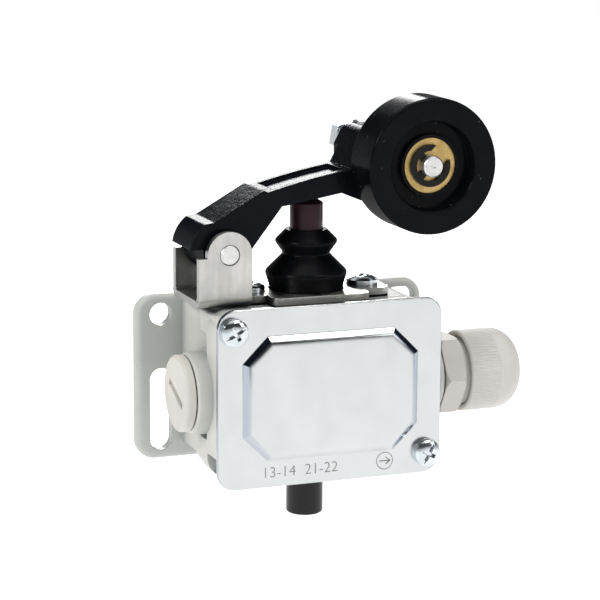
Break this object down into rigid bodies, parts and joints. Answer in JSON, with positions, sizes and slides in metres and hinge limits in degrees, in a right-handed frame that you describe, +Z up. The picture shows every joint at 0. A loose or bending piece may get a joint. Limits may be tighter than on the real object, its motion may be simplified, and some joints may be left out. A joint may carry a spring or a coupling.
{
  "type": "roller lever limit switch",
  "caption": "Boxed limit switch with a pivoting roller lever over a booted plunger, flanged metal housing, cable gland, blanking plug and a push button underneath.",
  "frame": {"origin": "centre of the back face of the mounting flange", "axes": "+Y points into the wall, out of the flange; +X runs along the box towards the cable gland; +Z is up, towards the lever"},
  "size_m": [0.113, 0.0474, 0.1269],
  "materials": {
    "painted_casting": "satin light grey paint on a die casting",
    "zinc_plate": "bright zinc plated sheet",
    "zinc_screws": "bright zinc plated",
    "bright_steel": "ground bright steel",
    "spring_steel": "blackened or plain spring steel",
    "black_lever": "semi-gloss black moulding",
    "black_roller": "satin black moulding",
    "black_rubber": "matt black rubber",
    "maroon_plastic": "dark maroon moulding",
    "cream_plastic": "satin cream moulding",
    "grey_plastic": "satin light grey moulding",
    "black_button": "gloss black moulding",
    "guide_plastic": "black moulding",
    "bronze": "plain bronze",
    "block_plastic": "dark moulded thermoset",
    "contact_brass": "brass with silver rivets",
    "terminal_steel": "nickel plated steel"
  },
  "bodies": {
    "housing": {"housing": "painted_casting", "cover": "zinc_plate", "cover_gasket": "black_rubber", "cover_washers": "zinc_screws", "cover_screws": "zinc_screws", "blanking_plug": "cream_plastic", "plug_seal": "black_rubber", "gland_o_ring": "black_rubber", "gland_body": "grey_plastic", "gland_seal": "black_rubber", "lever_bracket": "zinc_plate", "bracket_gasket": "black_rubber", "bracket_screws": "zinc_screws", "boot": "black_rubber", "plunger_guide": "guide_plastic", "return_spring": "spring_steel", "hinge_pin": "bright_steel", "pin_clip": "spring_steel", "reset_guide": "guide_plastic", "reset_spring": "spring_steel", "contact_case": "block_plastic", "terminal_screws": "terminal_steel", "terminal_washers": "terminal_steel", "block_screws": "terminal_steel", "earth_screw": "terminal_steel", "earth_washer": "terminal_steel", "fixed_contact_13": "contact_brass", "fixed_contact_14": "contact_brass", "fixed_contact_21": "contact_brass", "fixed_contact_22": "contact_brass"},
    "gland_cage": {"gland_cage": "grey_plastic"},
    "gland_nut": {"gland_nut": "grey_plastic"},
    "plunger": {"plunger": "maroon_plastic", "contact_carrier": "block_plastic", "normally_open_bridge": "contact_brass", "normally_closed_bridge": "contact_brass"},
    "lever": {"lever": "black_lever", "lever_bush": "bronze", "roller_axle": "bright_steel", "axle_clip": "spring_steel", "axle_washer": "zinc_screws", "axle_nut": "zinc_screws", "clamp_bolt": "zinc_screws", "clamp_washer": "zinc_screws", "clamp_nut": "zinc_screws"},
    "roller": {"roller": "black_roller", "roller_bush": "bronze"},
    "reset_button": {"reset_button": "black_button", "reset_clip": "spring_steel"}
  },
  "joints": [
    {"name": "lever_pivot", "type": "hinge", "parent": "housing", "child": "lever", "pos_m": [-0.0281, -0.0233, 0.0421], "axis": [0, 1, 0], "range_deg": [0, 12], "stiffness_Nm_per_rad": 1.5, "springref_deg": -17.19},
    {"name": "roller_spin", "type": "hinge", "parent": "lever", "child": "roller", "pos_m": [0.0304, -0.0394, 0.0667], "axis": [0, 1, 0], "continuous": true},
    {"name": "plunger_slide", "type": "slide", "parent": "housing", "child": "plunger", "axis": [0, 0, -1], "range_m": [0, 0.00595], "deforming": ["boot", "return_spring"]},
    {"name": "reset_push", "type": "slide", "parent": "housing", "child": "reset_button", "axis": [0, 0, 1], "range_m": [0, 0.004], "stiffness_N_per_m": 400, "springref_m": -0.003, "deforming": ["reset_spring"]},
    {"name": "gland_clamp", "type": "slide", "parent": "housing", "child": "gland_cage", "axis": [-1, 0, 0], "range_m": [0, 0.00091]},
    {"name": "gland_turn", "type": "hinge", "parent": "gland_cage", "child": "gland_nut", "pos_m": [0.06, -0.0273, 0.0006], "axis": [-1, 0, 0], "range_deg": [0, 216]}
  ],
  "couplings": [
    {"joint": "plunger_slide", "follows": "lever_pivot", "m_per_rad": 0.0284},
    {"joint": "gland_clamp", "follows": "gland_turn", "m_per_rad": 0.00023873}
  ]
}
